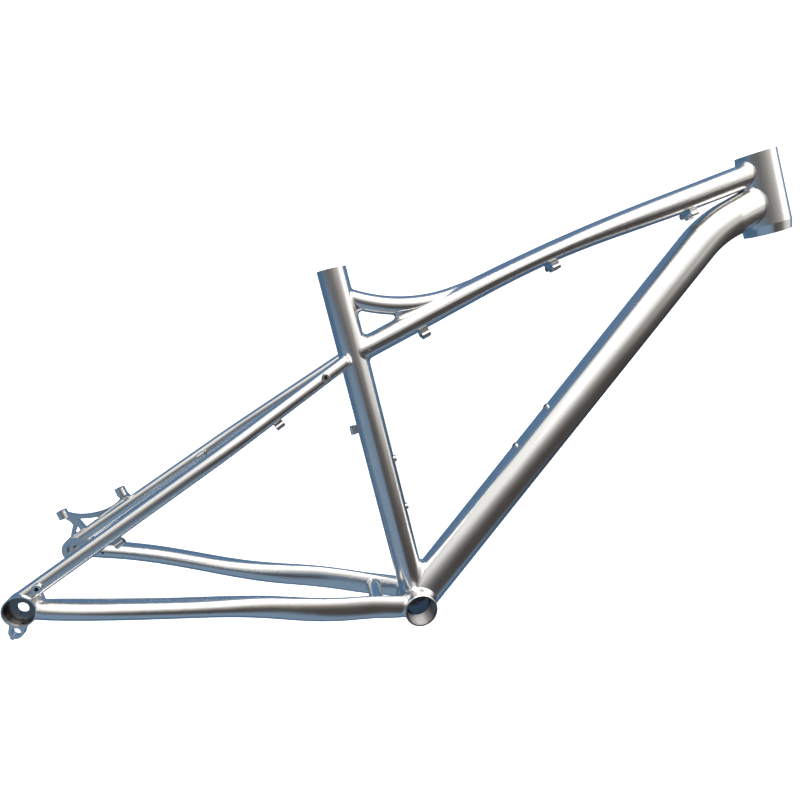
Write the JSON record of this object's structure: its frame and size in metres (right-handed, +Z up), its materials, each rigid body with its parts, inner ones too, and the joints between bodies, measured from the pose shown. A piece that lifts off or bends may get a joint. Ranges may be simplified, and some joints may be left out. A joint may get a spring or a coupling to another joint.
{
  "type": "bicycle frame",
  "caption": "Bare hardtail mountain-bike frame in brushed titanium with curved top tube, seat brace and disc-brake rear dropouts.",
  "frame": {"origin": "middle of the bottom-bracket shell's bore", "axes": "+X forward to the head tube, +Y to the non-drive side along the bottom-bracket shell, +Z up"},
  "size_m": [0.9214, 0.1758, 0.6191],
  "materials": {
    "titanium_tube": "brushed along the tubes, satin",
    "titanium_machined": "satin, machined",
    "steel_screw": "dark satin"
  },
  "bodies": {
    "root": {"top_tube": "titanium_tube", "down_tube": "titanium_tube", "seat_tube": "titanium_tube", "seat_brace_tube": "titanium_tube", "chainstay_drive": "titanium_tube", "chainstay_nondrive": "titanium_tube", "chainstay_bridge": "titanium_tube", "seatstay_drive": "titanium_tube", "seatstay_nondrive": "titanium_tube", "head_tube": "titanium_machined", "bottom_bracket_shell": "titanium_machined", "dropout_drive": "titanium_machined", "dropout_nondrive": "titanium_machined", "derailleur_hanger": "titanium_machined", "disc_brake_mount": "titanium_machined", "cable_guide_front": "titanium_machined", "cable_guide_middle": "titanium_machined", "cable_guide_rear": "titanium_machined", "seat_tube_cable_guide": "titanium_machined", "seatstay_guide_drive_upper": "titanium_machined", "seatstay_guide_drive_lower": "titanium_machined", "seatstay_guide_nondrive": "titanium_machined", "rack_eyelet_upper_drive": "titanium_machined", "rack_eyelet_upper_nondrive": "titanium_machined", "rack_eyelet_lower_drive": "titanium_machined", "rack_eyelet_lower_nondrive": "titanium_machined", "seat_tube_bottle_bosses": "titanium_machined", "down_tube_bottle_bosses": "titanium_machined", "hanger_screws": "steel_screw"}
  },
  "joints": []
}
